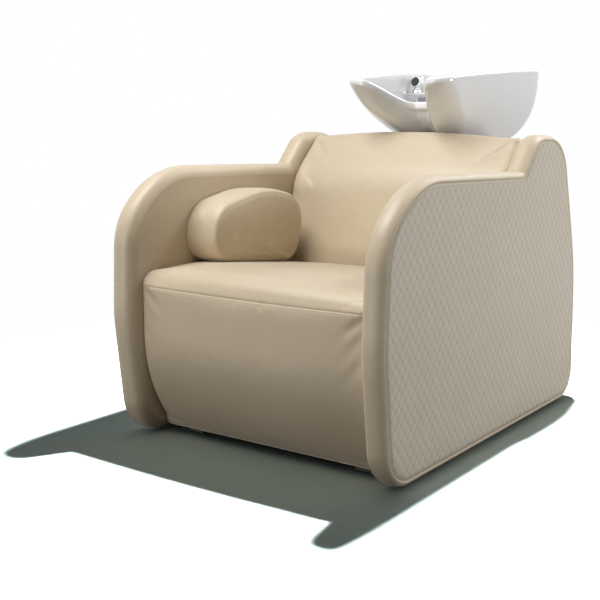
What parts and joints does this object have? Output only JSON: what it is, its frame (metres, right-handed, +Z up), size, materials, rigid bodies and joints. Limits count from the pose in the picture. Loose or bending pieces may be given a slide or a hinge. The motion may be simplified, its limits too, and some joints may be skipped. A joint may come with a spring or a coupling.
{
  "type": "salon wash unit",
  "caption": "Upholstered armchair with quilted side panels and a white ceramic wash basin that tilts behind its back, with mixer, hand shower, hoses and waste inside.",
  "frame": {"origin": "middle of the floor under the whole unit, at the centre of its bounding box's base", "axes": "+X to the right seen from the front, +Y from the seat's front to the basin at the rear, +Z up"},
  "size_m": [0.86, 1.3347, 1.022],
  "materials": {
    "vinyl": "soft beige artificial leather with a fine grain",
    "quilted_vinyl": "beige artificial leather quilted in small diamonds",
    "plywood": "birch plywood, bare",
    "frame_steel": "black powder coat",
    "zinc": "zinc plated",
    "ceramic": "white gloss glaze",
    "chrome": "polished",
    "rubber": "black, matt",
    "white_plastic": "white",
    "hose_braid": "braided steel cover"
  },
  "bodies": {
    "chair": {"seat_cushion": "vinyl", "back_cushion": "vinyl", "side_pad_left": "vinyl", "side_pad_right": "vinyl", "arm_pad_left": "vinyl", "arm_pad_right": "vinyl", "back_cover": "vinyl", "service_panel": "vinyl", "side_quilt_left": "quilted_vinyl", "side_quilt_right": "quilted_vinyl", "seat_box": "plywood", "seat_board": "plywood", "back_board": "plywood", "rear_shelf": "plywood", "side_board_left": "plywood", "side_board_right": "plywood", "arm_board_left": "plywood", "arm_board_right": "plywood", "frame_rails": "frame_steel", "cross_tubes": "frame_steel", "basin_columns": "frame_steel", "back_struts": "frame_steel", "basin_bracket": "frame_steel", "back_bolts": "zinc", "service_screws": "zinc", "side_bolts": "zinc", "arm_screws": "zinc", "bracket_bolts": "zinc", "tilt_bolts": "zinc", "tilt_nuts": "zinc", "trap_clip": "zinc", "water_inlets": "zinc", "inlet_plate": "zinc", "floor_glides": "rubber", "tilt_washers": "rubber", "waste_boot": "rubber", "waste_hose": "white_plastic", "waste_trap": "white_plastic", "shower_hose": "hose_braid", "hot_hose": "hose_braid", "cold_hose": "hose_braid"},
    "basin_unit": {"basin_cradle": "zinc", "cradle_pad": "rubber", "basin": "ceramic", "waste_body": "chrome", "waste_gasket": "rubber", "waste_nut": "zinc", "mixer_body": "chrome", "mixer_nut": "zinc", "shower_collar": "chrome", "shower_nut": "zinc"},
    "strainer": {"waste_strainer": "chrome"},
    "mixer_head": {"mixer_cap": "chrome", "lever_pin": "zinc"},
    "mixer_handle": {"mixer_lever": "chrome"},
    "shower": {"hand_shower": "chrome", "shower_face": "rubber", "shower_hose_top": "hose_braid"}
  },
  "joints": [
    {"name": "basin_tilt", "type": "hinge", "parent": "chair", "child": "basin_unit", "pos_m": [0, 0.4375, 0.74], "axis": [-1, 0, 0], "range_deg": [0, 12], "deforming": ["shower_hose", "hot_hose", "cold_hose"]},
    {"name": "strainer_lift", "type": "slide", "parent": "basin_unit", "child": "strainer", "axis": [0, 0, 1], "range_m": [0, 0.05]},
    {"name": "mixer_turn", "type": "hinge", "parent": "basin_unit", "child": "mixer_head", "pos_m": [0.096, 0.5845, 0.99], "axis": [0, 0, 1], "range_deg": [-45, 45]},
    {"name": "lever_lift", "type": "hinge", "parent": "mixer_head", "child": "mixer_handle", "pos_m": [0.096, 0.5845, 0.991], "axis": [-1, 0, 0], "range_deg": [0, 25]},
    {"name": "shower_lift", "type": "slide", "parent": "basin_unit", "child": "shower", "axis": [0, 0, 1], "range_m": [0, 0.15], "deforming": ["shower_hose_top"]}
  ]
}
